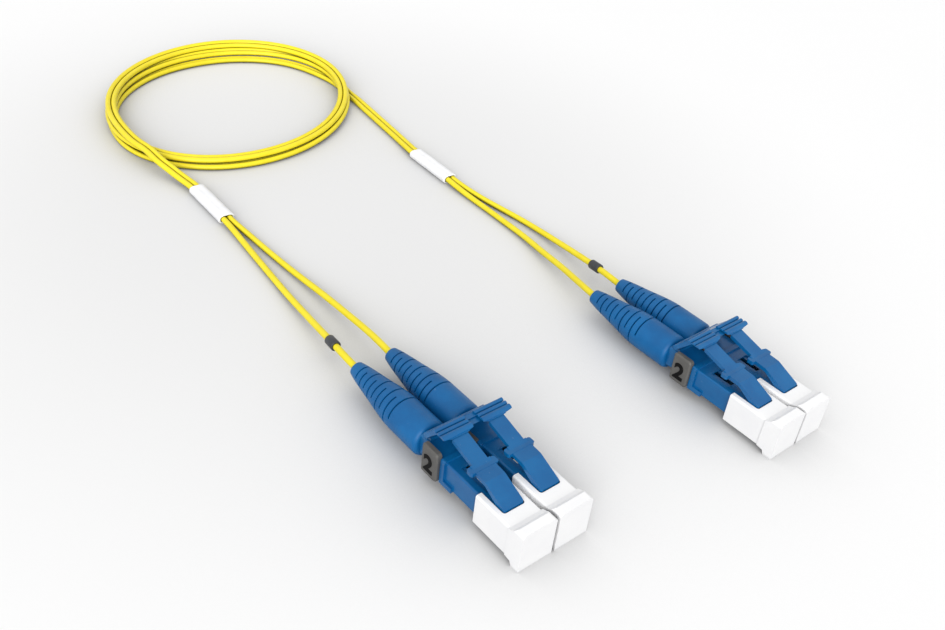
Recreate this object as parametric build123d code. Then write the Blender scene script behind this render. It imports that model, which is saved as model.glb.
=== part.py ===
from build123d import *
import math
import os

# A duplex fibre optic patch cable: two pairs of small latched plugs joined by a twin
# cord that lies in an oval coil. All lengths are in millimetres. In one plug's own
# frame the ferrule axis is Y, the plug looks towards -Y, X is sideways and Z is up.

# Layout of the whole cable
channel_pitch = 6.25
pair_spacing = 44.15
pair_stagger = 5.69

# Ferrule and its spring-loaded holder
ferrule_radius = 0.625
ferrule_tip = 20.6
ferrule_rear = 10.6
ferrule_shank_end = 13.9
ferrule_shank_radius = 0.4
ferrule_shoulder = 0.4
ferrule_bevel = 0.15
running_clearance = 0.05
holder_flange_flats = 2.5
holder_flange_length = 1.2
holder_stem_radius = 0.8
holder_stem_length = 3.8
holder_guide_radius = 0.9
ferrule_travel = 1.0
spring_mean_radius = 1.1
spring_wire = 0.26
spring_turns = 3

# Plug housing
nose_front = 19.2
nose_width = 4.5
nose_height = 3.9
nose_rear = 6.84
nose_edge = 0.3
mouth_radius = 1.55
mouth_depth = 5.6
front_wall = 0.9
rear_socket_radius = 1.75
side_rib_proud = 0.35
side_rib_width = 0.8
side_rib_reach = 9.4
key_groove_depth = 0.25

# Latch arm: the height of its upper face at named stations along the plug
latch_width = 3.3
latch_thickness = 0.62
latch_tip_y = 18.65
latch_tip_z = 2.42
latch_kink_y = 14.6
latch_kink_z = 4.1
latch_lug_y = 12.1
latch_lug_z = 4.25
latch_lug_span = 4.6
latch_lug_length = 1.2
latch_rear_y = 7.2
latch_rear_z = 5.5
latch_corner = 0.25
latch_neck_width = 2.55
latch_hinge_y = 17.25
latch_hinge_radius = 0.2
latch_gap = 0.06

# Rear body, crimp parts
rear_body_rear = 1.5
rear_body_width = 4.6
rear_body_bottom = 1.35
rear_body_top = 2.1
rear_body_waist = 3.7
spigot_length = 1.2
saddle_width = 3.2
saddle_top = 2.6
saddle_length = 1.4
crimp_neck_rear = -5.0
crimp_neck_radius = 1.2
crimp_collar_length = 0.6
fibre_bore_radius = 0.4
strand_radius = 0.55
crimp_ring_radius = 1.55
crimp_ring_rear = -4.4
crimp_ring_front = -0.6
crimp_dent = 0.12

# Boot
boot_rear = -16.6
boot_rear_radius = 1.2
boot_middle = -11.0
boot_middle_radius = 2.12
boot_shoulder = -4.5
boot_radius = 2.85
boot_front_radius = 2.1
boot_front_round = 0.7
boot_bore_clearance = 0.2
slot_first = -14.7
slot_pitch = 1.24
slot_rows = 9
slot_width = 0.28
slot_core = 0.55
slot_arc = 124
slot_phase_even = 106
slot_phase_odd = 165

# Dust cap
cap_rear = 14.35
cap_front = 23.62
cap_width = 5.46
cap_top = 2.2
cap_bottom = 2.62
flare_start = 20.85
flare_end = 22.25
flare_width = 5.74
flare_top = 3.05
flare_bottom = 3.5
flare_corner = 0.5
cap_clearance = 0.08
cap_pin_depth = 3.1
cap_pin_radius = 1.6
cap_slot_clearance = 0.16

# Clip that holds two plugs together
clip_rear = 3.47
clip_length = 3.33
clip_bottom = 2.0
clip_top = 3.05
clip_wall = 0.85
clip_floor = 0.55
clip_lip = 0.3
clip_corner = 0.5
clip_face_edge = 0.22

# Trigger yoke
bar_rear = 4.75
bar_bottom = latch_rear_z + 0.12
bar_length = 5.0
bar_centre = 3.35
ridge_pitch = 0.78
ridge_radius = 0.34
bar_rise = 0.22
ridge_height = bar_bottom + bar_rise
lobe_radius = 0.5
apron_front = 7.3
apron_width = 3.0
apron_rise = 0.28
yoke_plate = 0.8
yoke_hinge_y = 2.6
yoke_hinge_z = 2.85
yoke_root_radius = 0.45
yoke_width = 10.2
yoke_web_thickness = 0.02

# Cord, labels and marker rings
twin_gap = 0.1
ring_length = 2.5
ring_wall = 0.25
ring_behind_boot = 6.5
label_length = 12.3
label_wall = 0.3

# Derived places: the plugs rest on the flared feet of their caps
crimp_front = nose_rear + spigot_length + crimp_collar_length + running_clearance
axis_height = flare_bottom
pair_x = pair_spacing / 2
pair_y = (cap_front + pair_stagger + boot_rear) / 2
twin_pitch = 2 * strand_radius + twin_gap
label_height = strand_radius + running_clearance + label_wall
bore_radius = strand_radius + running_clearance

PAIRS = {
    "near": (-pair_x, pair_y),
    "far": (pair_x, pair_y - pair_stagger),
}
CHANNELS = {"1": -channel_pitch / 2, "2": channel_pitch / 2}


def at(station):
    """Y of a station measured forwards from the rear of the plug's frame."""
    return -station


def rod(radius, rear, front, x=0, z=0):
    """A round bar along the plug's axis between two stations."""
    plane = Plane((x, at(rear), z), x_dir=(1, 0, 0), z_dir=(0, -1, 0))
    return extrude(plane * Circle(radius), front - rear)


def block(width, bottom, top, rear, front, x=0):
    """A rectangular bar along the plug's axis between two stations."""
    middle = ((rear + front) / 2, (bottom + top) / 2)
    box = Box(width, front - rear, top - bottom)
    return Pos(x, at(middle[0]), middle[1]) * box


def rounded_block(width, bottom, top, rear, front, edge, x=0):
    """A bar along the axis whose four long edges are rounded."""
    bar = block(width, bottom, top, rear, front, x)
    return fillet(bar.edges().filter_by(Axis.Y), edge)


def turned(points):
    """A solid of revolution about the plug's axis from (station, radius) points."""
    outline = [(at(station), radius) for station, radius in points]
    face = make_face(Polyline(outline, close=True))
    side = Plane.YZ * face
    return revolve(side, Axis.Y)


def side_plate(outline, width, x=0):
    """A plate of the given width with an outline of (station, height) points."""
    points = [(at(station), height) for station, height in outline]
    face = Plane.YZ.offset(x - width / 2) * make_face(Polyline(points, close=True))
    return extrude(face, width)


def make_ferrule():
    points = [
        (ferrule_rear, 0),
        (ferrule_rear, ferrule_shank_radius),
        (ferrule_shank_end, ferrule_shank_radius),
        (ferrule_shank_end + ferrule_shoulder, ferrule_radius),
        (ferrule_tip - ferrule_bevel, ferrule_radius),
        (ferrule_tip, ferrule_radius - ferrule_bevel),
        (ferrule_tip, 0),
    ]
    return turned(points)


def holder_front():
    """Station of the holder's front face, which rests behind the housing's inner wall."""
    return nose_front - mouth_depth - front_wall - running_clearance


def make_ferrule_holder():
    """A hexagonal flange with a stem behind it and a guide in front that holds the ferrule's shank."""
    front = holder_front()
    back = front - holder_flange_length
    plane = Plane((0, at(back), 0), x_dir=(1, 0, 0), z_dir=(0, -1, 0))
    hexagon = RegularPolygon(holder_flange_flats / 2, 6, major_radius=False)
    flange = extrude(plane * hexagon, holder_flange_length)
    stem = rod(holder_stem_radius, back - holder_stem_length, back)
    guide = rod(holder_guide_radius, front, ferrule_shank_end)
    return flange + stem + guide - rod(ferrule_shank_radius, ferrule_rear, ferrule_shank_end)


def make_spring():
    """A helical spring of square wire between the crimp body and the holder's flange."""
    rear = crimp_front
    front = holder_front() - holder_flange_length
    rise = front - rear - spring_wire
    path = Helix(rise / spring_turns, rise, spring_mean_radius)
    start = Plane(path @ 0, z_dir=path % 0)
    coil = sweep(start * Rectangle(spring_wire, spring_wire), path, is_frenet=True)
    upright = Pos(0, at(rear + spring_wire / 2), 0) * Rot(90, 0, 0)
    return upright * coil


def make_plug_housing():
    """The square nose with its mouth, inner wall, rear socket and L-shaped side ribs."""
    half = nose_height / 2
    body = rounded_block(nose_width, -half, half, nose_rear, nose_front, nose_edge)
    wide = nose_width + 2 * side_rib_proud
    rear_rib = block(wide, -half, half + side_rib_proud, nose_rear, nose_rear + side_rib_width)
    foot_rib = block(wide, -half, -half + side_rib_width, nose_rear, side_rib_reach)
    rib_edges = rear_rib.edges().filter_by(Axis.Y).sort_by(Axis.Z)[-2:]
    body = body + fillet(rib_edges, side_rib_proud) + foot_rib
    mouth_back = nose_front - mouth_depth
    wall_back = mouth_back - front_wall
    body = body - rod(mouth_radius, mouth_back, nose_front)
    body = body - rod(holder_guide_radius + running_clearance, wall_back, mouth_back)
    body = body - rod(rear_socket_radius, nose_rear, wall_back)
    groove = block(nose_width / 2, half - key_groove_depth, half, side_rib_reach, latch_kink_y)
    return body - groove


def latch_outline(offset):
    """Upper line of the latch, or a line a given distance below it, front to rear."""
    return [
        (latch_tip_y, latch_tip_z - offset),
        (latch_kink_y, latch_kink_z - offset),
        (latch_lug_y, latch_lug_z - offset),
        (latch_rear_y, latch_rear_z - offset),
    ]


def make_latch_arm():
    """A thin arm that rises to the rear, with a shoulder lug on each side."""
    upper = latch_outline(0)
    lower = latch_outline(latch_thickness)
    floor = nose_height / 2 + latch_gap
    tip = [(latch_hinge_y, floor), (latch_tip_y, floor)]
    lower = [point for point in lower if point[1] > floor]
    arm = side_plate(upper + lower[::-1] + tip, latch_width)
    corners = arm.edges().filter_by(Axis.Z).sort_by(Axis.Y)[:2]
    arm = fillet(corners, latch_corner)
    root = Cylinder(latch_hinge_radius, latch_width, rotation=(0, 90, 0))
    arm = arm + Pos(0, at(latch_hinge_y), floor + latch_hinge_radius) * root
    rear = latch_lug_y - latch_lug_length / 2
    sides = block(latch_width, latch_kink_z - 1, latch_rear_z + 1, latch_rear_y - 1, rear)
    neck = block(latch_neck_width, latch_kink_z - 1, latch_rear_z + 1, latch_rear_y - 1, rear)
    arm = arm - (sides - neck)
    front = latch_lug_y + latch_lug_length / 2
    lug = block(latch_lug_span, latch_lug_z - latch_thickness, latch_lug_z, rear, front)
    ends = lug.edges().filter_by(Axis.Z)
    return arm + fillet(ends, latch_thickness / 2)


def make_rear_body():
    """The plug's back half: a body that the clip grips and a spigot in the housing."""
    low = -rear_body_bottom
    body = rounded_block(rear_body_width, low, rear_body_top, clip_rear, nose_rear, nose_edge)
    body = body + rounded_block(
        rear_body_waist, low, rear_body_top, rear_body_rear, clip_rear, nose_edge
    )
    spigot = rod(rear_socket_radius - running_clearance, nose_rear, nose_rear + spigot_length)
    saddle = block(
        saddle_width,
        rear_body_top,
        saddle_top,
        yoke_hinge_y - saddle_length / 2,
        yoke_hinge_y + saddle_length / 2,
    )
    body = body + spigot + saddle - rod_across(yoke_root_radius + running_clearance, saddle_width)
    bore = crimp_neck_radius + running_clearance
    return body - rod(bore, rear_body_rear, nose_rear + spigot_length)


def make_crimp_body():
    """The backbone tube that carries the spring and takes the crimp."""
    stem_bore = holder_stem_radius + running_clearance
    stem_end = holder_front() - holder_flange_length - holder_stem_length - ferrule_travel
    collar_rear = crimp_front - crimp_collar_length
    collar = rod(rear_socket_radius - 2 * running_clearance, collar_rear, crimp_front)
    tube = rod(crimp_neck_radius, crimp_neck_rear, crimp_front) + collar
    tube = tube - rod(stem_bore, stem_end - running_clearance, crimp_front)
    return tube - rod(fibre_bore_radius, crimp_neck_rear + crimp_neck_radius, crimp_front)


def make_crimp_ring():
    """A metal sleeve on the backbone's neck with two rolled grooves."""
    span = crimp_ring_front - crimp_ring_rear
    points = [(crimp_ring_rear, crimp_neck_radius), (crimp_ring_rear, crimp_ring_radius)]
    for share in (0.3, 0.7):
        middle = crimp_ring_rear + share * span
        points.append((middle - 2 * crimp_dent, crimp_ring_radius))
        points.append((middle, crimp_ring_radius - crimp_dent))
        points.append((middle + 2 * crimp_dent, crimp_ring_radius))
    points += [(crimp_ring_front, crimp_ring_radius), (crimp_ring_front, crimp_neck_radius)]
    return turned(points)


def boot_profile():
    """The boot's outer line as one smooth curve with a rounded front shoulder."""
    rear = (at(boot_rear), boot_rear_radius)
    middle = (at(boot_middle), boot_middle_radius)
    shoulder = (at(boot_shoulder), boot_radius)
    front = at(rear_body_rear)
    round_start = (front + boot_front_round, boot_radius)
    taper = Spline([rear, middle, shoulder], tangents=[(-2.6, 0.62), (-1, 0)])
    straight = Line(shoulder, round_start)
    nose = ThreePointArc(
        round_start,
        (front + 0.3 * boot_front_round, boot_front_radius + 0.7 * (boot_radius - boot_front_radius)),
        (front, boot_front_radius),
    )
    face = Line((front, boot_front_radius), (front, 0))
    axis = Line((front, 0), (at(boot_rear), 0))
    back = Line((at(boot_rear), 0), rear)
    return make_face([taper, straight, nose, face, axis, back])


def slot_cutter(station, phase):
    """Two opposite arcs of a thin ring that leave the boot's core whole."""
    outer = boot_radius + 1
    fraction = (station - boot_rear) / (boot_shoulder - boot_rear)
    radius = boot_rear_radius + (boot_radius - boot_rear_radius) * math.sin(fraction * math.pi / 2)
    core = max(radius - slot_core, strand_radius + 2 * boot_bore_clearance)
    ring = rod(outer, station - slot_width / 2, station + slot_width / 2)
    ring = ring - rod(core, station - slot_width, station + slot_width)
    keep = (180 - slot_arc) / 2
    bar = 2 * outer * math.tan(math.radians(keep))
    wedge = Polyline((0, 0), (outer, bar / 2), (outer, -bar / 2), close=True)
    plane = Plane((0, at(station - slot_width), 0), x_dir=(1, 0, 0), z_dir=(0, -1, 0))
    for side in (0, 180):
        face = plane * (Rot(0, 0, phase + 90 + side) * make_face(wedge))
        ring = ring - extrude(face, 2 * slot_width)
    return ring


def make_boot():
    """A tapered strain relief, slotted in two alternating phases over its rear half."""
    boot = revolve(Plane.YZ * boot_profile(), Axis.Y)
    for row in range(slot_rows):
        phase = slot_phase_even if row % 2 == 0 else slot_phase_odd
        boot = boot - slot_cutter(slot_first + row * slot_pitch, phase)
    boot = boot - rod(strand_radius + boot_bore_clearance, boot_rear, crimp_neck_rear)
    return boot - rod(crimp_ring_radius, crimp_neck_rear, rear_body_rear)


def cap_section(width, bottom, top, corner):
    """A cap's cross-section: square foot corners and rounded top corners."""
    plate = Rectangle(width, bottom + top)
    plate = Pos(0, (top - bottom) / 2) * plate
    return fillet(plate.vertices().sort_by(Axis.Y)[-2:], corner)


def make_dust_cap():
    """A sleeve over the nose with a slot for the latch and a flared grip in front."""
    body = block(cap_width, -cap_bottom, cap_top, cap_rear, flare_start)
    body = fillet(body.edges().filter_by(Axis.Y).sort_by(Axis.Z)[-2:], nose_edge)
    side = [
        (flare_start, -cap_bottom),
        (flare_start, cap_top),
        (flare_start + 0.55 * (flare_end - flare_start), cap_top + 0.35 * (flare_top - cap_top)),
        (flare_end, flare_top),
        (cap_front, flare_top),
        (cap_front, -flare_bottom),
        (flare_end, -flare_bottom),
        (flare_start + 0.75 * (flare_end - flare_start), -cap_bottom - 0.2 * (flare_bottom - cap_bottom)),
    ]
    grip = side_plate(side, flare_width)
    plane = Plane((0, at(flare_start), 0), x_dir=(1, 0, 0), z_dir=(0, -1, 0))
    outline = plane * cap_section(flare_width, flare_bottom, flare_top, flare_corner)
    grip = grip & extrude(outline, cap_front - flare_start)
    pocket_front = nose_front + cap_clearance
    half = nose_height / 2 + cap_clearance
    pocket = block(nose_width + 2 * cap_clearance, -half, half, cap_rear, pocket_front)
    slot = block(latch_width + 2 * cap_slot_clearance, 0, flare_top, cap_rear, latch_tip_y + cap_slot_clearance)
    slot = fillet(slot.edges().filter_by(Axis.Z).sort_by(Axis.Y)[:2], latch_corner + cap_slot_clearance)
    pin = rod(cap_pin_radius, pocket_front, pocket_front + cap_pin_depth)
    return body + grip - pocket - slot - pin


def make_clip():
    """A W-shaped clip: a floor, two outer plates with a raised pad, and a middle rib."""
    front = clip_rear + clip_length
    span = channel_pitch + rear_body_width + 2 * (clip_wall + running_clearance)
    body = block(span, -clip_bottom, clip_top, clip_rear, front)
    body = fillet(body.edges().filter_by(Axis.X), clip_corner)
    for x in CHANNELS.values():
        width = rear_body_width + 2 * running_clearance
        body = body - block(width, clip_floor - clip_bottom, clip_top, clip_rear, front, x)
    rib = channel_pitch - rear_body_width - 2 * running_clearance
    body = body - block(rib, rear_body_top + clip_lip, clip_top, clip_rear, front)
    for side in (Axis.X, -Axis.X):
        outer = body.faces().sort_by(side)[-1]
        body = chamfer(outer.edges(), clip_face_edge)
    return body


def bar_profile():
    """The end shape of a trigger bar: two ridges, a larger front lobe and a flat underside."""
    first = bar_rear + ridge_radius
    second = first + ridge_pitch
    lobe = apron_front - lobe_radius - 0.1
    low = ridge_height - 0.12
    base = [
        (bar_rear + 0.05, bar_bottom),
        (bar_rear + 0.05, ridge_height),
        (lobe, ridge_height),
        (lobe + lobe_radius * 0.7, low),
        (apron_front, bar_bottom),
    ]
    points = [(at(station), height) for station, height in base]
    face = make_face(Polyline(points, close=True))
    for station in (first, second):
        face = face + Pos(at(station), ridge_height) * Circle(ridge_radius)
    face = face + Pos(at(lobe), low) * Circle(lobe_radius)
    cut = Pos(at(lobe), bar_bottom - 1) * Rectangle(4 * lobe_radius, 2)
    return face - cut


def make_bar(x, latch_x):
    """A ridged bar centred at x whose front apron narrows to the width of the latch below it."""
    side = Plane.YZ.offset(x - bar_length / 2) * bar_profile()
    bar = extrude(side, bar_length)
    half = bar_length / 2
    waist = apron_width / 2
    middle = latch_x - x
    section = Polyline(
        (-half, bar_bottom + 2),
        (-half, bar_bottom + apron_rise),
        (middle - waist, bar_bottom),
        (middle + waist, bar_bottom),
        (half, bar_bottom + apron_rise),
        (half, bar_bottom + 2),
        close=True,
    )
    front = Plane((x, at(bar_rear - 1), 0), x_dir=(1, 0, 0), z_dir=(0, -1, 0))
    return bar & extrude(front * make_face(section), apron_front - bar_rear + 2)


def make_trigger():
    """One moulding: a round root in two saddles, a plate rising from it and two ridged bars."""
    plate_front = bar_rear + yoke_plate
    rise = [
        (yoke_hinge_y - yoke_root_radius, yoke_hinge_z),
        (bar_rear + 0.1, ridge_height),
        (plate_front + 0.1, ridge_height),
        (plate_front, bar_bottom),
        (yoke_hinge_y + yoke_root_radius, yoke_hinge_z),
    ]
    web_top = bar_bottom + yoke_web_thickness
    web = block(channel_pitch, bar_bottom, web_top, bar_rear + 0.2, apron_front - 0.7)
    yoke = rod_across(yoke_root_radius, yoke_width / 2) + side_plate(rise, yoke_width) + web
    for x in CHANNELS.values():
        yoke = yoke + make_bar(math.copysign(bar_centre, x), x)
    return yoke


def rod_across(radius, half_span):
    """The trigger's round root, which lies across the pair."""
    bar = Cylinder(radius, 2 * half_span, rotation=(0, 90, 0))
    return Pos(0, at(yoke_hinge_y), yoke_hinge_z) * bar


def corner_radii(points):
    """Largest tangent arc for each inner point: 0.45 of the shorter run over tan(half turn)."""
    radii = []
    for before, here, after in zip(points, points[1:], points[2:]):
        run_in = Vector(*here) - Vector(*before)
        run_out = Vector(*after) - Vector(*here)
        half_turn = math.radians(run_in.get_angle(run_out)) / 2
        radii.append(0.45 * min(run_in.length, run_out.length) / math.tan(half_turn))
    return radii


def strand_path(points):
    """The strand's centreline: straight runs joined by tangent arcs."""
    return FilletPolyline(*points, radius=corner_radii(points))


def make_strand(name, points, coil):
    """A plain round tube along its route, ended where it meets the coil."""
    path = strand_path(points)
    start = Plane(path @ 0, z_dir=path % 0)
    tube = sweep(start * Circle(strand_radius), path)
    expected = path.length * math.pi * strand_radius**2
    print(name, "length", round(path.length, 1), "least radius", round(min(corner_radii(points)), 1),
          "volume share", round(tube.volume / expected, 4))
    return tube - coil


# Routes of the four strands from the crimp body to the coil. Heights fall to the floor
# behind the boot, rise a little in the label sleeve, and the near pair climbs onto the coil.
strand_start = at(crimp_neck_rear)
label_axis = {
    "near": ((-19.68, 73.55), (-19.39, 85.81)),
    "far": ((25.39, 64.93), (25.86, 77.24)),
}
leg_routes = {
    "near_1": [(-23.6, 39.1, 1.6), (-22.2, 50.0, 0.56), (-20.95, 60.6, 0.56)],
    "near_2": [(-17.95, 39.2, 1.6), (-18.0, 50.2, 0.56), (-18.6, 60.6, 0.56)],
    "far_1": [(22.4, 32.8, 1.5), (24.25, 43.2, 0.56), (24.55, 53.0, 0.56)],
    "far_2": [(27.4, 33.2, 1.5), (28.3, 42.8, 0.56), (27.15, 52.7, 0.56)],
}
twin_routes = {
    "near": [(-21.5, 96.0, 2.3), (-22.5, 104.7, 3.0)],
    "far": [(27.5, 89.5, 0.56), (29.0, 99.7, 0.56), (29.95, 105.6, 0.56)],
}
label_lead_in = 4.0
label_lead_out = {"near": 1.5, "far": 3.0}
exit_run = 5.0
coil_centre = (3.1, 115.3)
coil_turn = 36.5
coil_outer = (31.8, 26.1)
coil_inner = (25.2, 21.4)
coil_height = 3.6


def beside(point, after, side):
    """The point moved half a twin pitch to one side of the line towards the next point."""
    dx = after[0] - point[0]
    dy = after[1] - point[1]
    run = math.hypot(dx, dy)
    half = side * twin_pitch / 2
    return (point[0] + half * dy / run, point[1] - half * dx / run, point[2])


def label_run(pair):
    """The twin cord's straight run through its label, longer than the label at both ends."""
    start, end = label_axis[pair]
    dx = (end[0] - start[0]) / label_length
    dy = (end[1] - start[1]) / label_length
    lead_out = label_lead_out[pair]
    return [
        (start[0] - label_lead_in * dx, start[1] - label_lead_in * dy, label_height),
        (end[0] + lead_out * dx, end[1] + lead_out * dy, label_height),
    ]


def strand_route(pair, channel):
    """All points of one strand: straight out of the boot, along its leg, then in the twin."""
    x0, y0 = PAIRS[pair]
    x = x0 + CHANNELS[channel]
    side = -1 if channel == "1" else 1
    points = [(x, y0 + strand_start, axis_height), (x, y0 - boot_rear + exit_run, axis_height)]
    points += leg_routes[f"{pair}_{channel}"]
    twin = label_run(pair) + twin_routes[pair]
    for here, after in zip(twin, twin[1:]):
        points.append(beside(here, after, side))
    last = twin[-1]
    before = twin[-2]
    beyond = (2 * last[0] - before[0], 2 * last[1] - before[1], last[2])
    points.append(beside(last, beyond, side))
    return points


def make_label(pair):
    """A flattened sleeve round both strands where they part."""
    start, end = label_axis[pair]
    middle = ((start[0] + end[0]) / 2, (start[1] + end[1]) / 2)
    turn = math.degrees(math.atan2(end[1] - start[1], end[0] - start[0])) - 90
    inside = SlotCenterToCenter(twin_pitch, 2 * bore_radius)
    outside = SlotCenterToCenter(twin_pitch, 2 * label_height)
    plane = Plane((0, label_length / 2, 0), x_dir=(1, 0, 0), z_dir=(0, -1, 0))
    sleeve = extrude(plane * (outside - inside), label_length)
    return Pos(*middle, label_height) * Rot(0, 0, turn) * sleeve


def make_marker_ring(pair, channel):
    """A short tube round one leg of the pair, a little way behind its boot."""
    path = strand_path(strand_route(pair, channel))
    centre = crimp_neck_rear - boot_rear + ring_behind_boot
    middle = Plane(path @ (centre / path.length), z_dir=path % (centre / path.length))
    outside = Circle(bore_radius + ring_wall) - Circle(bore_radius)
    return extrude(middle * outside, ring_length / 2, both=True)


def make_coil():
    """The closed outer shape of the coil: a flat oval ring."""
    ring = Ellipse(*coil_outer) - Ellipse(*coil_inner)
    solid = extrude(ring, coil_height)
    return Pos(*coil_centre, 0) * Rot(0, 0, coil_turn) * solid


def write(name, solid):
    export_step(solid, f"parts/{name}.step")


os.makedirs("parts", exist_ok=True)
channel_parts = {
    "plug_housing": make_plug_housing(),
    "latch_arm": make_latch_arm(),
    "rear_body": make_rear_body(),
    "crimp_body": make_crimp_body(),
    "crimp_ring": make_crimp_ring(),
    "boot": make_boot(),
    "ferrule": make_ferrule(),
    "ferrule_holder": make_ferrule_holder(),
    "spring": make_spring(),
    "dust_cap": make_dust_cap(),
}
coil = make_coil()
pair_parts = {"clip": make_clip(), "trigger": make_trigger()}
marked = {"near": "1", "far": "2"}

for pair, (pair_at_x, pair_at_y) in PAIRS.items():
    for name, solid in pair_parts.items():
        write(f"{name}_{pair}", Pos(pair_at_x, pair_at_y, axis_height) * solid)
    for channel, offset in CHANNELS.items():
        place = Pos(pair_at_x + offset, pair_at_y, axis_height)
        for name, solid in channel_parts.items():
            write(f"{name}_{pair}_{channel}", place * solid)
        route = strand_route(pair, channel)
        write(f"strand_{pair}_{channel}", make_strand(f"strand_{pair}_{channel}", route, coil))
    write(f"label_{pair}", make_label(pair))
    write(f"marker_ring_{pair}", make_marker_ring(pair, marked[pair]))
write("coil", coil)
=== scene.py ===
import math
import bpy
import numpy as np
from mathutils import Matrix


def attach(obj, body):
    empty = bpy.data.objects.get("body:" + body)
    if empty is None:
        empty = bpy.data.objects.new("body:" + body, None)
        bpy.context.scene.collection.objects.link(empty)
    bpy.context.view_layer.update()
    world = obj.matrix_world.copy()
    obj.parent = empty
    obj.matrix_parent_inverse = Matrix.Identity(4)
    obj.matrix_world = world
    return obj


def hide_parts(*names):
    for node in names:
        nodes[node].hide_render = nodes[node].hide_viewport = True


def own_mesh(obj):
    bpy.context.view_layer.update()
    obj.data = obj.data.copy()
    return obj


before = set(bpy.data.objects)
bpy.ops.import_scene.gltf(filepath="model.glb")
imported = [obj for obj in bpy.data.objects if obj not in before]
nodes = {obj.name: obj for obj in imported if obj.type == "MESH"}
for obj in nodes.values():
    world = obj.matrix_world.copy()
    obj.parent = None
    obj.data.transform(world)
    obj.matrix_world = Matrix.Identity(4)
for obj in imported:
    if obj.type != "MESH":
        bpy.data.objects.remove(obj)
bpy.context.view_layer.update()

# The two ends and their channels. Lengths are in metres throughout.
AXIS = 0.0035
PAIRS = {"near": (-0.022075, 0.006355), "far": (0.022075, 0.000665)}
CHANNELS = {"1": -0.003125, "2": 0.003125}

# The cord: a strand's radius and half the spacing of the twin's strands.
STRAND = 0.00055
HALF_TWIN = 0.00057

# Marker rings, with how far along its leg each one sits.
RING_LENGTH = 0.0025
RING_RADIUS = 0.00085
RING_EDGE = 0.00014
RING_STATIONS = {"near": 0.0194, "far": 0.0188}

# Label sleeves: half their width and thickness, and the height of their middle.
LABEL_HALF_WIDTH = 0.00155
LABEL_HALF_THICKNESS = 0.00088
LABEL_HEIGHT = 0.0009
LABEL_ROUNDNESS = 2.7
LABEL_PINCH = 0.07

# Raised numbers and where the clips' outer plates lie.
CLIP_FACE = 0.006325
CLIP_MIDDLE = 0.00505
NUMBER_SIZE = 0.0038
NUMBER_WEIGHT = 0.00012
NUMBER_RISE = 0.00005
NUMBER_EDGE = 0.00002
NUMBER_GAP = 0.00001
NUMBER_LIFT = 0.0001


class Wire:
    """A shader socket that takes part in sums, so that patterns can be written as formulas."""

    def __init__(self, tree, socket):
        self.tree = tree
        self.socket = socket

    def node(self, kind, inputs, output=0, **settings):
        """A new node of a kind, with its settings made and its inputs joined or set."""
        made = self.tree.nodes.new(kind)
        for key, value in settings.items():
            setattr(made, key, value)
        for key, value in inputs.items():
            if isinstance(value, Wire):
                self.tree.links.new(value.socket, made.inputs[key])
            else:
                made.inputs[key].default_value = value
        return Wire(self.tree, made.outputs[output])

    def math(self, operation, *values):
        """A Math node of an operation on sockets or plain values."""
        return self.node("ShaderNodeMath", dict(enumerate(values)), operation=operation)

    def __add__(self, other):
        return self.math("ADD", self, other)

    __radd__ = __add__

    def __sub__(self, other):
        return self.math("SUBTRACT", self, other)

    def __rsub__(self, other):
        return self.math("SUBTRACT", other, self)

    def __mul__(self, other):
        return self.math("MULTIPLY", self, other)

    __rmul__ = __mul__

    def step(self, low, high):
        """0 below low, 1 above high and smooth between."""
        inputs = {"Value": self, "From Min": low, "From Max": high}
        return self.node("ShaderNodeMapRange", inputs, interpolation_type="SMOOTHSTEP")

    def noise(self, scale, detail=3.0, rough=0.55, stretch=None):
        """Noise from 0 to 1 in Object coordinates, with grains about 1/scale metres across."""
        place = self.node("ShaderNodeTexCoord", {}, output="Object")
        if stretch:
            place = self.node("ShaderNodeMapping", {"Vector": place, "Scale": stretch})
        inputs = {"Vector": place, "Scale": scale, "Detail": detail, "Roughness": rough}
        return self.node("ShaderNodeTexNoise", inputs)

    def painted_shade(self, reach):
        """0 on open faces and 1 deep in a groove, a mask for painted shade in grooves."""
        return (1 - self.open_share(reach)).step(0.24, 0.88)

    def open_share(self, reach):
        """How much of the sky a point sees past its neighbours within reach."""
        return self.node("ShaderNodeAmbientOcclusion", {"Distance": reach}, 1, samples=8)

    def blend(self, first, second):
        """Colour that goes from first to second as this goes from 0 to 1."""
        sockets = {0: self, 6: first, 7: second}
        return self.node("ShaderNodeMix", sockets, 2, data_type="RGBA", clamp_factor=True)


def linear(red, green, blue):
    """Screen values from 0 to 255 as a scene-linear colour."""
    out = []
    for value in (red, green, blue):
        part = value / 255
        out.append(part / 12.92 if part <= 0.04045 else ((part + 0.055) / 1.055) ** 2.4)
    return (*out, 1.0)


def surface(name, build, **constants):
    """A Principled material: build(wire) returns the varying inputs, constants are set directly."""
    material = bpy.data.materials.new(name)
    material.use_nodes = True
    tree = material.node_tree
    shader = next(node for node in tree.nodes if node.type == "BSDF_PRINCIPLED")
    shader.inputs["Specular IOR Level"].default_value = 0.35
    for key, value in constants.items():
        shader.inputs[key.replace("_", " ")].default_value = value
    start = Wire(tree, shader.outputs[0])
    for key, wire in build(start).items():
        tree.links.new(wire.socket, shader.inputs[key])
    return material


def bump(wire, height, depth):
    """A surface normal from a height pattern that is depth metres deep."""
    return wire.node("ShaderNodeBump", {"Height": height, "Strength": 1.0, "Distance": depth})


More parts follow.
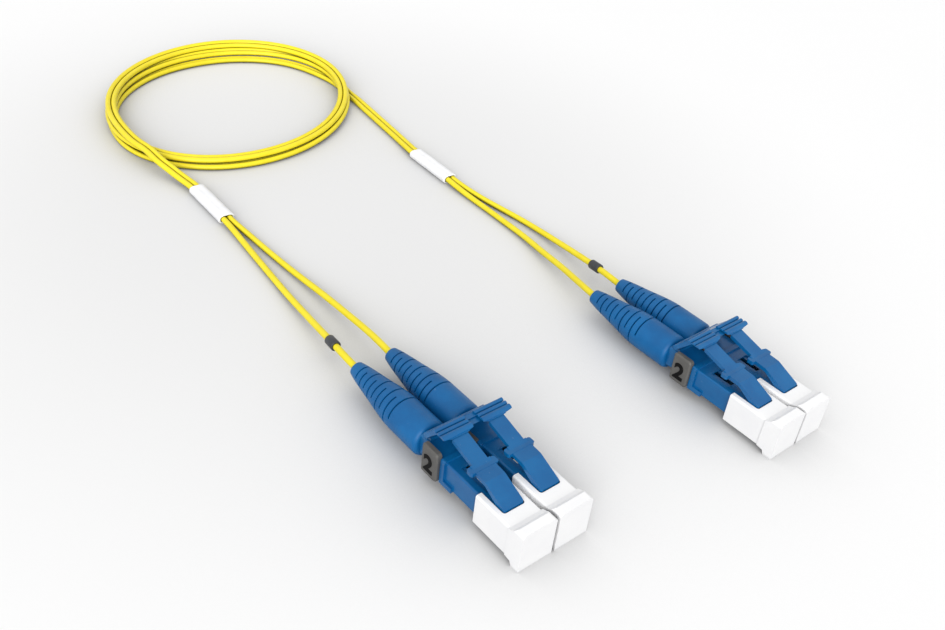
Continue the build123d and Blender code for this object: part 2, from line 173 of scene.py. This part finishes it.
def moulded(name, base, shade, rough, grain, depth, crease_shade=None, **constants):
    """Plastic with faint flow patches, a few specks of dust and a fine moulded grain.

    Where a crease_shade is given as (reach, colour), narrow gaps take that colour as painted shade.
    """

    def build(wire):
        patches = wire.noise(260, 3)
        fine = wire.noise(grain, 2)
        specks = wire.noise(1900, 1).step(0.74, 0.8)
        colour = patches.step(0.3, 0.75).blend(base, shade)
        dust = tuple(0.55 * part + 0.45 * 0.6 for part in base[:3]) + (1.0,)
        colour = (specks * 0.12).blend(colour, dust)
        if crease_shade:
            # Painted shade: narrow gaps take the crease colour.
            colour = wire.painted_shade(crease_shade[0]).blend(colour, crease_shade[1])
        return {
            "Base Color": colour,
            "Roughness": rough - 0.05 + patches * 0.08 + fine * 0.05,
            "Normal": bump(wire, fine + patches * 0.6, depth),
        }

    return surface(name, build, **constants)


def metal(name, base, shade, rough, stretch):
    """Turned or drawn metal with fine lines round it and a dull film in patches."""

    def build(wire):
        lines = wire.noise(900, 2, stretch=stretch)
        film = wire.noise(700, 3)
        return {
            "Base Color": film.step(0.35, 0.7).blend(base, shade),
            "Roughness": rough + lines * 0.12 + film * 0.1,
            "Normal": bump(wire, lines, 0.000008),
        }

    return surface(name, build, Metallic=1.0)


def jacket(wire):
    """Yellow cord: a smooth jacket with faint waves, handling marks and painted shade in its
    grooves.
    """
    waves = wire.noise(420, 2)
    marks = wire.noise(1500, 4).step(0.62, 0.8)
    fine = wire.noise(6000, 2)
    colour = waves.step(0.25, 0.8).blend(linear(248, 230, 46), linear(243, 223, 38))
    colour = (marks * 0.3).blend(colour, linear(218, 203, 56))
    # Painted shade: the grooves between strands and windings turn dark olive.
    colour = wire.painted_shade(0.0027).blend(colour, linear(106, 97, 8))
    return {
        "Base Color": colour,
        "Roughness": 0.36 + waves * 0.1 + marks * 0.15,
        "Normal": bump(wire, waves + fine * 0.2, 0.00002),
    }


def ceramic(wire):
    """Polished zirconia with the faintest clouding."""
    cloud = wire.noise(900, 3)
    return {
        "Base Color": cloud.step(0.3, 0.8).blend(linear(246, 245, 240), linear(232, 230, 222)),
        "Roughness": 0.12 + cloud * 0.08,
        "Normal": bump(wire, cloud, 0.000003),
    }


def paper(wire):
    """White label stock with fibres, a soft sheen and slightly greyed patches."""
    fibres = wire.noise(5200, 4, stretch=(1.0, 0.3, 1.0))
    cloud = wire.noise(500, 3)
    return {
        "Base Color": cloud.step(0.3, 0.8).blend(linear(253, 253, 254), linear(244, 245, 248)),
        "Roughness": 0.42 + fibres * 0.15,
        "Normal": bump(wire, fibres + cloud * 2.0, 0.00002),
    }


BLUE = linear(10, 99, 157)
BLUE_DEEP = linear(6, 89, 147)
looks = {
    "plug": moulded("plug_blue", BLUE, BLUE_DEEP, 0.3, 5200, 0.000012, Coat_Weight=0.15),
    "boot": moulded("boot_blue", linear(6, 101, 162), BLUE_DEEP, 0.45, 4200, 0.00002),
    "clip": moulded(
        "clip_grey",
        linear(97, 96, 93),
        linear(86, 85, 83),
        0.45,
        4200,
        0.00003,
        # Painted shade: the clip's narrow gaps turn near black.
        crease_shade=(0.0012, linear(10, 11, 14)),
    ),
    "cap": moulded(
        "cap_white",
        linear(252, 252, 252),
        linear(248, 248, 249),
        0.4,
        3800,
        0.00001,
        # Painted shade: the cap's narrow gaps turn grey.
        crease_shade=(0.0009, linear(140, 140, 142)),
    ),
    "number": moulded(
        "number_dark",
        linear(14, 14, 14),
        linear(9, 9, 9),
        0.6,
        4200,
        0.00001,
        Specular_IOR_Level=0.12,
    ),
    "ring": moulded("ring_grey", linear(72, 74, 78), linear(58, 60, 64), 0.42, 5200, 0.00001),
    "cord": surface("cord_yellow", jacket),
    "ferrule": surface("ferrule_white", ceramic),
    "label": surface("label_white", paper),
    "turned": metal("turned_nickel", (0.62, 0.60, 0.56, 1), (0.5, 0.48, 0.44, 1), 0.22, (1, 8, 1)),
    "crimp": metal("crimp_brass", (0.78, 0.66, 0.4, 1), (0.62, 0.5, 0.3, 1), 0.26, (1, 8, 1)),
    "spring": metal("spring_steel", (0.6, 0.6, 0.62, 1), (0.44, 0.44, 0.46, 1), 0.2, (1, 1, 1)),
}
dress = {
    "plug_housing": "plug",
    "latch_arm": "plug",
    "rear_body": "plug",
    "trigger": "plug",
    "boot": "boot",
    "clip": "clip",
    "dust_cap": "cap",
    "ferrule_holder": "turned",
    "ferrule": "ferrule",
    "crimp_body": "turned",
    "crimp_ring": "crimp",
    "spring": "spring",
    "strand": "cord",
    "coil": "cord",
    "label": "label",
    "marker_ring": "ring",
}
for name, piece in nodes.items():
    kind = max((key for key in dress if name.startswith(key)), key=len)
    piece.data.materials.clear()
    piece.data.materials.append(looks[dress[kind]])


def place(obj, body, look):
    """The finished piece joins the scene, takes its material and rides on a body."""
    bpy.context.scene.collection.objects.link(obj)
    obj.data.materials.append(looks[look])
    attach(obj, body)
    return obj


def grid_mesh(name, points, wrap_u=True, wrap_v=False):
    """A smooth mesh through a grid of points, points[i][j], joined round in u or v as asked."""
    points = np.asarray(points, dtype=float)
    rows, columns = points.shape[:2]
    i, j = np.meshgrid(
        np.arange(rows if wrap_v else rows - 1),
        np.arange(columns if wrap_u else columns - 1),
        indexing="ij",
    )
    i2 = (i + 1) % rows
    j2 = (j + 1) % columns
    corners = [i * columns + j, i * columns + j2, i2 * columns + j2, i2 * columns + j]
    faces = np.stack(corners, axis=-1)
    mesh = bpy.data.meshes.new(name)
    mesh.from_pydata(points.reshape(-1, 3).tolist(), [], faces.reshape(-1, 4).tolist())
    mesh.polygons.foreach_set("use_smooth", np.ones(len(mesh.polygons), dtype=bool))
    mesh.update()
    return bpy.data.objects.new(name, mesh)


# Routes. Each leg runs from the crimp inside the boot to the start of its label; the twin
# cord's centreline runs from one label through the coil to the other.
LEGS = {
    "near_1": [
        (-0.0252, 0.0114, 0.0035),
        (-0.0252, 0.0172, 0.0035),
        (-0.0252, 0.023, 0.0035),
        (-0.0250, 0.0264, 0.00335),
        (-0.0245, 0.0304, 0.0029),
        (-0.02365, 0.0361, 0.0019),
        (-0.02297, 0.0417, 0.0012),
        (-0.0224, 0.0477, 0.00075),
        (-0.0218, 0.0535, 0.00056),
        (-0.0213, 0.0592, 0.00056),
        (-0.0208, 0.0645, 0.00056),
        (-0.0204, 0.0697, 0.00075),
    ],
    "near_2": [
        (-0.01895, 0.0114, 0.0035),
        (-0.01895, 0.0172, 0.0035),
        (-0.01895, 0.023, 0.0035),
        (-0.0187, 0.026, 0.0034),
        (-0.01825, 0.03, 0.0029),
        (-0.0179, 0.03715, 0.0020),
        (-0.01773, 0.044, 0.0013),
        (-0.0179, 0.0502, 0.00078),
        (-0.0182, 0.0561, 0.00056),
        (-0.0185, 0.0618, 0.00056),
        (-0.0187, 0.0674, 0.00058),
        (-0.0190, 0.0704, 0.00078),
    ],
    "far_1": [
        (0.01895, 0.0057, 0.0035),
        (0.01895, 0.0115, 0.0035),
        (0.01897, 0.0173, 0.0035),
        (0.0195, 0.0199, 0.0033),
        (0.02017, 0.0221, 0.0029),
        (0.02194, 0.0284, 0.0020),
        (0.02316, 0.0346, 0.0012),
        (0.02433, 0.0408, 0.0007),
        (0.0246, 0.0464, 0.00056),
        (0.0247, 0.05215, 0.00056),
        (0.0247, 0.0577, 0.00058),
        (0.0247, 0.0614, 0.00075),
    ],
    "far_2": [
        (0.0252, 0.0057, 0.0035),
        (0.0252, 0.0115, 0.0035),
        (0.0252, 0.0173, 0.0035),
        (0.0257, 0.0205, 0.0033),
        (0.02632, 0.02386, 0.0029),
        (0.02769, 0.0319, 0.0016),
        (0.02827, 0.04, 0.00075),
        (0.0281, 0.0452, 0.00056),
        (0.02743, 0.0498, 0.00056),
        (0.0268, 0.054, 0.00056),
        (0.02635, 0.0577, 0.00058),
        (0.0260, 0.0614, 0.00075),
    ],
}
LABELS = {
    "near": ((-0.01968, 0.07355), (-0.01939, 0.08581)),
    "far": ((0.02539, 0.06493), (0.02586, 0.07724)),
}
LEAD_IN = [(-0.02028, 0.0911, 0.0013), (-0.02096, 0.0939, 0.0019), (-0.0218, 0.0963, 0.0026)]
LEAD_OUT = [
    (0.0296, 0.105, 0.00056),
    (0.0291, 0.101, 0.00056),
    (0.02821, 0.0938, 0.00056),
    (0.02707, 0.0847, 0.00058),
    (0.0262, 0.0797, 0.00078),
]

# The coil: a round of 2.6 turns on an oval. Each row is an angle in degrees, a share of the
# oval's radius, the height of the twin cord's centre and how far its inner strand rolls down.
COIL_CENTRE = np.array([0.00412, 0.11652])
COIL_AXES = (0.02832, 0.02405)
COIL_TURN = math.radians(216.5)
COIL_LAY = np.array([
    (6.7, 1.09, 0.00302, 0),
    (22, 1.005, 0.00305, 0),
    (41, 0.98, 0.00305, 0),
    (75, 0.99, 0.00305, 8),
    (134, 1.0, 0.00305, 25),
    (180, 1.0, 0.0030, 25),
    (221, 1.0, 0.00295, 12),
    (245, 1.0, 0.0026, 0),
    (275, 1.0, 0.0020, 0),
    (313, 1.0, 0.00174, 0),
    (340, 1.015, 0.0017, 0),
    (364, 1.02, 0.0017, 0),
    (380, 1.008, 0.0017, 0),
    (400, 0.998, 0.0017, 0),
    (420, 0.988, 0.0017, 0),
    (440, 0.985, 0.00172, 4),
    (493, 0.937, 0.00175, 15),
    (519, 0.937, 0.00175, 15),
    (569, 1.0, 0.0017, 6),
    (600, 1.015, 0.0016, 0),
    (640, 1.03, 0.00095, 0),
    (673, 1.036, 0.0006, 0),
    (700, 1.045, 0.00056, 0),
    (722, 1.04, 0.00056, 0),
    (738, 1.03, 0.00056, 0),
    (750, 1.005, 0.00056, 0),
    (762, 0.985, 0.00056, 0),
    (785, 0.98, 0.00056, 0),
    (851, 0.875, 0.00056, 0),
    (880, 0.872, 0.00056, 0),
    (930, 0.94, 0.00056, 0),
    (957, 1.064, 0.00056, 0),
])


def smooth_read(angle, table, column):
    """A column read at an angle: straight between rows, averaged over 9 degrees either way."""
    around = angle + np.linspace(-9, 9, 7)
    return float(np.interp(around, table[:, 0], table[:, column]).mean())


def coil_points(step=8.0):
    """p = c + r(t) (a cos t e1 + b sin t e2) at even steps of t, with height z(t) and a roll."""
    first, last = COIL_LAY[0, 0], COIL_LAY[-1, 0]
    e1 = np.array([math.cos(COIL_TURN), math.sin(COIL_TURN)])
    e2 = np.array([e1[1], -e1[0]])
    points = []
    for angle in np.linspace(first, last, int((last - first) / step) + 1):
        turn = math.radians(angle)
        radius = smooth_read(angle, COIL_LAY, 1)
        flat = COIL_AXES[0] * math.cos(turn) * e1 + COIL_AXES[1] * math.sin(turn) * e2
        x, y = COIL_CENTRE + radius * flat
        points.append((x, y, smooth_read(angle, COIL_LAY, 2), smooth_read(angle, COIL_LAY, 3)))
    return points


def label_points(end, count=4):
    """Points through a label, from its boot side to its coil side, a little past both ends."""
    start, stop = (np.array(point) for point in LABELS[end])
    shares = np.linspace(-0.06, 1.06, count)
    return [(*(start + share * (stop - start)), LABEL_HEIGHT) for share in shares]


def twin_line():
    """The twin cord's centreline from the near label to the far one, and its roll in degrees."""
    before = [(*point, 0) for point in label_points("near") + LEAD_IN]
    after = [(*point, 0) for point in LEAD_OUT + label_points("far")[::-1]]
    return np.array(before + coil_points() + after)


def beside(line, side):
    """The line moved half a twin pitch to the left (-1) or right (+1), and down as it rolls."""
    run = np.gradient(line[:, :2], axis=0)
    run /= np.linalg.norm(run, axis=1)[:, None]
    roll = np.radians(line[:, 3])
    out = side * HALF_TWIN * np.cos(roll)
    moved = line[:, :3].copy()
    moved[:, 0] += out * run[:, 1]
    moved[:, 1] -= out * run[:, 0]
    moved[:, 2] -= side * HALF_TWIN * np.sin(roll)
    return moved


def cord(name, points):
    """A round NURBS cord of one strand's thickness."""
    curve = bpy.data.curves.new(name, "CURVE")
    curve.dimensions = "3D"
    curve.bevel_depth = STRAND
    curve.bevel_resolution = 5
    curve.resolution_u = 6
    curve.use_fill_caps = True
    spline = curve.splines.new("NURBS")
    spline.points.add(len(points) - 1)
    values = np.ones((len(points), 4))
    values[:, :3] = points
    spline.points.foreach_set("co", values.ravel())
    spline.order_u = 3
    spline.use_endpoint_u = True
    return bpy.data.objects.new(name, curve)


# Each strand runs from a near plug to a far one and lies on one side (-1 or 1) of the twin.
ROOT = "base"
RUNS = {"1": ("near_1", "far_2", -1), "2": ("near_2", "far_1", 1)}
twin = twin_line()
strands = {}
for number, (first, last, side) in RUNS.items():
    line = np.vstack([LEGS[first], beside(twin, side), LEGS[last][::-1]])
    piece = place(cord(f"cord_strand_{number}", line), ROOT, "cord")
    strands[number] = (piece, line)


def frame_at(direction):
    """Side and up vectors square to a direction."""
    forward = np.asarray(direction, dtype=float)
    forward /= np.linalg.norm(forward)
    side = np.cross(forward, (0, 0, 1))
    side /= np.linalg.norm(side)
    return forward, side, np.cross(side, forward)


def turned(name, centre, direction, profile, around=40):
    """p = c + s f + r (cos t side + sin t up), for each (s, r) of a closed profile."""
    forward, side, up = frame_at(direction)
    angles = np.linspace(0, 2 * math.pi, around, endpoint=False)
    spoke = np.cos(angles)[:, None] * side + np.sin(angles)[:, None] * up
    rows = [np.asarray(centre) + along * forward + radius * spoke for along, radius in profile]
    return grid_mesh(name, rows, wrap_v=True)


def ring_profile(length, inner, outer, edge):
    """A short sleeve's outline: two flat ends with eased outer edges."""
    half = length / 2
    return [
        (-half, inner),
        (-half, outer - edge),
        (-half + 0.35 * edge, outer - 0.3 * edge),
        (-half + edge, outer),
        (half - edge, outer),
        (half - 0.35 * edge, outer - 0.3 * edge),
        (half, outer - edge),
        (half, inner),
    ]


def point_along(line, station):
    """The point a stated way along a line."""
    steps = np.linalg.norm(np.diff(line, axis=0), axis=1)
    along = np.concatenate([[0], np.cumsum(steps)])
    return np.array([np.interp(station, along, line[:, axis]) for axis in range(3)])


def marker_ring(end, line):
    """The dark ring on a leg, turned to the leg's own direction there."""
    station = RING_STATIONS[end]
    reach = 0.001
    direction = point_along(line, station + reach) - point_along(line, station - reach)
    profile = ring_profile(RING_LENGTH, STRAND * 0.99, RING_RADIUS, RING_EDGE)
    ring = turned(f"ring_sleeve_{end}", point_along(line, station), direction, profile)
    place(ring, ROOT, "ring")
    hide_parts(f"marker_ring_{end}")
    return ring


def label_sleeve(end):
    """A heat-shrunk sleeve: a superellipse that hugs the two strands, looser at its ends.

    p = c + s f + k(s) (a C side + b S up), C and S being cos and sin raised to 2/n.
    """
    start, stop = (np.array((*point, LABEL_HEIGHT)) for point in LABELS[end])
    forward, side, up = frame_at(stop - start)
    length = np.linalg.norm(stop - start)
    angles = np.linspace(0, 2 * math.pi, 72, endpoint=False)
    power = 2 / LABEL_ROUNDNESS
    across = np.sign(np.cos(angles)) * np.abs(np.cos(angles)) ** power
    rise = np.sign(np.sin(angles)) * np.abs(np.sin(angles)) ** power
    pinch = 1 - LABEL_PINCH * np.exp(-((across / 0.22) ** 2))
    rows = []
    stations = [(0.0, 0.8), (0.0, 0.97), (0.006, 1.0)]
    stations += [(share, 1.0) for share in np.linspace(0.03, 0.97, 24)]
    stations += [(0.994, 1.0), (1.0, 0.97), (1.0, 0.8)]
    for share, scale in stations:
        wave = 1 + 0.012 * math.sin(19 * share + 1.3) + 0.008 * math.sin(43 * share)
        wide = LABEL_HALF_WIDTH * scale * wave
        high = LABEL_HALF_THICKNESS * scale * (1 + 0.03 * math.sin(11 * share))
        ring = across[:, None] * wide * side + (rise * pinch)[:, None] * high * up
        rows.append(start + share * length * forward + ring)
    sleeve = grid_mesh(f"label_sleeve_{end}", rows)
    place(sleeve, ROOT, "label")
    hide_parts(f"label_{end}")
    return sleeve


ringed = strands["1"][1]
riders = [marker_ring("near", ringed), marker_ring("far", ringed[::-1])]
riders += [label_sleeve(end) for end in PAIRS]
for number, (first, last, side) in RUNS.items():
    piece = strands[number][0]
    covered = [f"strand_{first}", f"strand_{last}"] + (["coil"] if number == "1" else [])
    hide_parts(*covered)
    end, channel = first.split("_")
    riders if number == "1" else ()


def raised_number(end, text, side):
    """A plain raised number that reads upright on a clip's outer plate, at side -1 or 1."""
    line = bpy.data.curves.new(f"number_{end}_{text}", "FONT")
    line.body = text
    line.size = NUMBER_SIZE
    line.offset = NUMBER_WEIGHT
    line.extrude = NUMBER_RISE
    line.bevel_depth = NUMBER_EDGE
    line.bevel_resolution = 2
    line.align_x = "CENTER"
    line.align_y = "CENTER"
    holder = bpy.data.objects.new(line.name, line)
    bpy.context.scene.collection.objects.link(holder)
    ready = holder.evaluated_get(bpy.context.evaluated_depsgraph_get())
    mesh = bpy.data.meshes.new_from_object(ready)
    bpy.data.objects.remove(holder)
    x, y = PAIRS[end]
    centre = (x + side * (CLIP_FACE + NUMBER_GAP), y - CLIP_MIDDLE, AXIS + NUMBER_LIFT)
    spots = np.empty(len(mesh.vertices) * 3)
    mesh.vertices.foreach_get("co", spots)
    turn = np.array([(0, side, 0), (0, 0, 1), (side, 0, 0)])
    moved = centre + spots.reshape(-1, 3) @ turn
    mesh.vertices.foreach_set("co", moved.ravel())
    mesh.update()
    return place(bpy.data.objects.new(f"number_{end}_{text}", mesh), ROOT, "number")


def spring_gives_way(end, channel):
    """The spring gets a mesh of its own."""
    name = f"spring_{end}_{channel}"
    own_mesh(nodes[name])


for end in PAIRS:
    raised_number(end, "2", -1)
    raised_number(end, "1", 1)
    for channel in CHANNELS:
        spring_gives_way(end, channel)


# The floor, the light and the camera.
# The middle of the floor's painted shade.
PAINTED_SHADE_MIDDLE = (0.0, 0.072, 0.0)
FLOOR_HALF = 3.0


def floor(wire):
    """A seamless white sweep with the faintest unevenness, with painted shade greyer round its
    middle and a painted shadow where the object hides its sky.
    """
    cloud = wire.noise(9, 3)
    pale = cloud.step(0.3, 0.8).blend(linear(250, 250, 250), linear(249, 249, 249))
    spot = wire.node("ShaderNodeTexCoord", {}, output="Object")
    away = wire.node("ShaderNodeVectorMath", {0: spot, 1: PAINTED_SHADE_MIDDLE}, 1, operation="DISTANCE")
    # Painted shade: the floor turns greyer towards its middle.
    pale = away.step(0.02, 0.125).blend(linear(233, 233, 233), pale)
    # Painted shadow: the floor darkens where the object hides its sky.
    near = (1 - wire.open_share(0.09)) * 1.5
    return {
        "Base Color": near.blend(pale, linear(196, 196, 196)),
        "Roughness": 0.6 + cloud * 0.05,
    }


def lit_dimly(material):
    """The material as it is for the camera, reflections and glass, and dim for all other rays."""
    tree = material.node_tree
    seen = next(node for node in tree.nodes if node.type == "BSDF_PRINCIPLED")
    finish = next(node for node in tree.nodes if node.type == "OUTPUT_MATERIAL")
    path = tree.nodes.new("ShaderNodeLightPath")
    shown = Wire(tree, path.outputs["Is Camera Ray"])
    for ray in ("Is Glossy Ray", "Is Transmission Ray"):
        shown = shown.math("MAXIMUM", shown, Wire(tree, path.outputs[ray]))
    dim = shown.node("ShaderNodeBsdfDiffuse", {"Color": (0.2, 0.2, 0.21, 1)})
    mix = shown.node("ShaderNodeMixShader", {0: shown, 1: dim, 2: Wire(tree, seen.outputs[0])})
    tree.links.new(mix.socket, finish.inputs["Surface"])


def aimed(name, data, right, up, back, spot=(0, 0, 0)):
    """An object of a lamp or camera, with its own axes turned to three directions."""
    holder = bpy.data.objects.new(name, data)
    bpy.context.scene.collection.objects.link(holder)
    matrix = Matrix.Identity(4)
    for row in range(3):
        for column, axis in enumerate((right, up, back, spot)):
            matrix[row][column] = axis[row]
    holder.matrix_world = matrix
    return holder


def sun(name, spread, comes_from, power):
    """A soft sun whose light comes from a direction."""
    lamp = bpy.data.lights.new(name, "SUN")
    lamp.angle = math.radians(spread)
    lamp.energy = power
    forward, side, up = frame_at(-np.array(comes_from, dtype=float))
    aimed(name, lamp, side, up, -forward)


looks["floor"] = surface("floor_white", floor)
lit_dimly(looks["floor"])
ends = (-FLOOR_HALF, FLOOR_HALF)
ground = grid_mesh("floor", [[(x, y, 0.0) for x in ends] for y in ends], wrap_u=False)
bpy.context.scene.collection.objects.link(ground)
ground.data.materials.append(looks["floor"])

world = bpy.data.worlds.new("studio")
world.use_nodes = True
world.node_tree.nodes["Background"].inputs["Color"].default_value = (1, 1, 1, 1)
world.node_tree.nodes["Background"].inputs["Strength"].default_value = 0.8
bpy.context.scene.world = world
sun("key", 50, (-0.71, -0.71, 0.36), 2.4)

lens = bpy.data.cameras.new("camera")
lens.lens = 38.095
lens.sensor_width = 36.0
lens.clip_start = 0.005
lens.clip_end = 10.0
bpy.context.scene.camera = aimed(
    "camera",
    lens,
    right=(0.77308, -0.6273, 0.09401),
    up=(0.31769, 0.5112, 0.79859),
    back=(-0.54901, -0.58751, 0.59449),
    spot=(-0.090677, -0.070582, 0.099409),
)
bpy.context.scene.view_settings.view_transform = "Standard"
